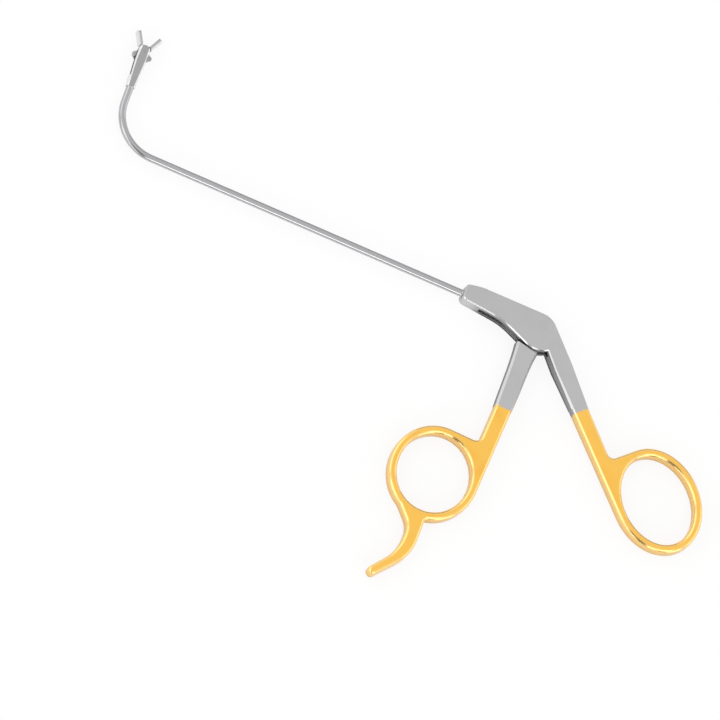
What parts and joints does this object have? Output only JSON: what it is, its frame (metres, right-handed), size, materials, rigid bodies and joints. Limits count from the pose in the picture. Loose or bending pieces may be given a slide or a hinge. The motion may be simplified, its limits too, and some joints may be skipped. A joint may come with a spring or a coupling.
{
  "type": "sinus forceps",
  "caption": "Angled double-action sinus forceps: ring handles work a wire through a thin tube bent square at the tip, where both cup jaws open from a forked head.",
  "frame": {"origin": "on the housing's lower cheek, under the shaft axis, in the middle of the housing's straight front block", "axes": "+X along the shaft towards the handles, +Y the way the tip bends, +Z through the thickness, up from the cheek it lies on"},
  "size_m": [0.2218, 0.1356, 0.0062],
  "materials": {
    "handle_steel": "satin steel, gold plated on the ring",
    "shaft_steel": "finely polished tube",
    "head_steel": "bright ground steel",
    "inner_steel": "plain drawn steel"
  },
  "bodies": {
    "fixed": {"fixed_handle": "handle_steel", "lever_pivot_pin": "handle_steel", "shaft_tube": "shaft_steel", "jaw_clevis": "head_steel", "jaw_pivot_pin": "head_steel"},
    "lever": {"lever_handle": "handle_steel"},
    "wire_rear": {"pull_wire_rear": "inner_steel", "wire_eye": "inner_steel", "wire_eye_pin": "inner_steel"},
    "wire_bend": {"pull_wire_bend": "inner_steel"},
    "wire_front": {"pull_wire_front": "inner_steel", "wire_tang": "inner_steel", "link_rod_pin": "head_steel"},
    "left_jaw": {"jaw_a": "head_steel", "tail_pin_a": "head_steel"},
    "right_jaw": {"jaw_b": "head_steel", "tail_pin_b": "head_steel"},
    "left_link": {"link_a": "head_steel"},
    "right_link": {"link_b": "head_steel"}
  },
  "joints": [
    {"name": "lever_hinge", "type": "hinge", "parent": "fixed", "child": "lever", "pos_m": [0.0145, 0, 0.0031], "axis": [0, 0, 1], "range_deg": [0, 17]},
    {"name": "wire_rear_slide", "type": "slide", "parent": "fixed", "child": "wire_rear", "axis": [1, 0, 0], "range_m": [0, 0.00166]},
    {"name": "wire_bend_turn", "type": "hinge", "parent": "fixed", "child": "wire_bend", "pos_m": [-0.1198, 0.014, 0.0031], "axis": [0, 0, 1], "range_deg": [0, 6.8]},
    {"name": "wire_front_slide", "type": "slide", "parent": "fixed", "child": "wire_front", "axis": [0, -1, 0], "range_m": [0, 0.00166]},
    {"name": "left_jaw_hinge", "type": "hinge", "parent": "fixed", "child": "left_jaw", "pos_m": [-0.1338, 0.0312, 0.0031], "axis": [0, 0, -1], "range_deg": [0, 27.5]},
    {"name": "right_jaw_hinge", "type": "hinge", "parent": "fixed", "child": "right_jaw", "pos_m": [-0.1338, 0.0312, 0.0031], "axis": [0, 0, 1], "range_deg": [0, 27.5]},
    {"name": "left_link_hinge", "type": "hinge", "parent": "left_jaw", "child": "left_link", "pos_m": [-0.13138, 0.0298, 0.0031], "axis": [0, 0, 1], "range_deg": [0, 46.5]},
    {"name": "right_link_hinge", "type": "hinge", "parent": "right_jaw", "child": "right_link", "pos_m": [-0.13622, 0.0298, 0.0031], "axis": [0, 0, -1], "range_deg": [0, 46.5]}
  ],
  "couplings": [
    {"joint": "wire_rear_slide", "follows": "lever_hinge", "m_per_rad": 0.0055611},
    {"joint": "wire_bend_turn", "follows": "lever_hinge", "ratio": 0.39722},
    {"joint": "wire_front_slide", "follows": "lever_hinge", "m_per_rad": 0.0055611},
    {"joint": "left_jaw_hinge", "follows": "lever_hinge", "ratio": 1.6176},
    {"joint": "right_jaw_hinge", "follows": "lever_hinge", "ratio": 1.6176},
    {"joint": "left_link_hinge", "follows": "lever_hinge", "ratio": 2.7324},
    {"joint": "right_link_hinge", "follows": "lever_hinge", "ratio": 2.7324}
  ]
}
